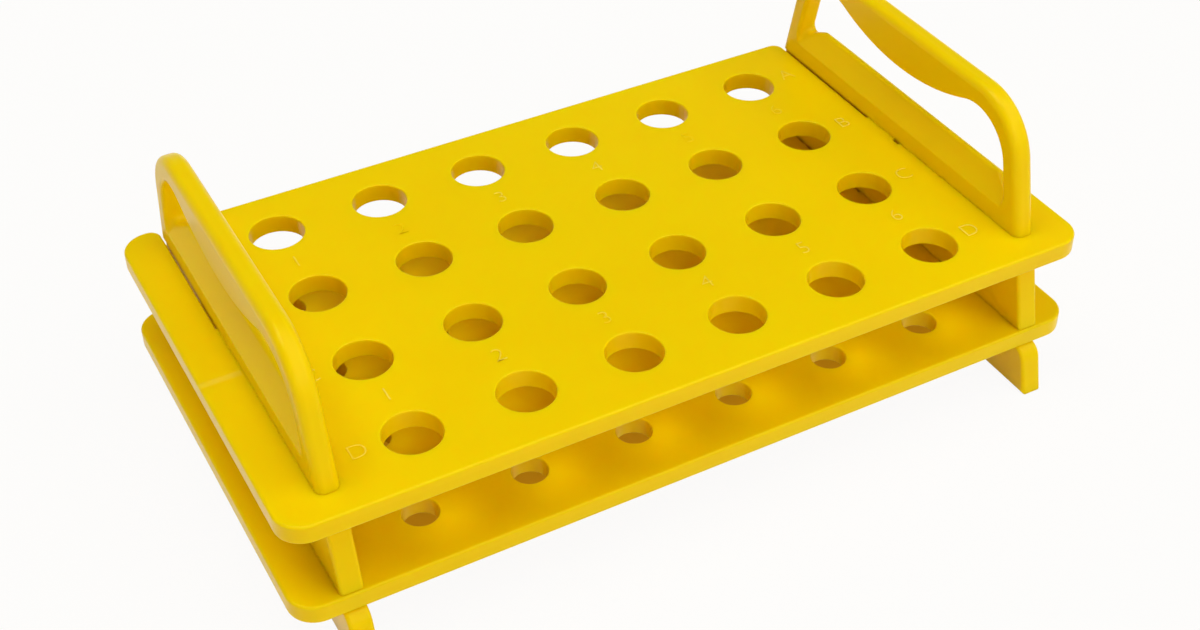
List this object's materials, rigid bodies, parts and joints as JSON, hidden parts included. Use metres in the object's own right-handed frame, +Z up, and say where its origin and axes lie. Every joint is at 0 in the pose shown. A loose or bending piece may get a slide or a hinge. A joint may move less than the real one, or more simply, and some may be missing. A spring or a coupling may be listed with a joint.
{
  "type": "microcentrifuge tube rack",
  "caption": "Two-tier yellow plastic rack for small lab tubes, with round holes in rows and a carrying handle at each end.",
  "frame": {"origin": "on the surface it stands on, midway between the two end frames and under the middle of their feet", "axes": "+X along the long side from the left end frame to the right, +Y from the front to the back where the plates' slots are open, +Z up"},
  "size_m": [0.1672, 0.1024, 0.0597],
  "materials": {
    "yellow_polypropylene": "satin"
  },
  "bodies": {
    "root": {"upper_plate": "yellow_polypropylene", "lower_plate": "yellow_polypropylene", "left_end_frame": "yellow_polypropylene", "right_end_frame": "yellow_polypropylene"}
  },
  "joints": []
}
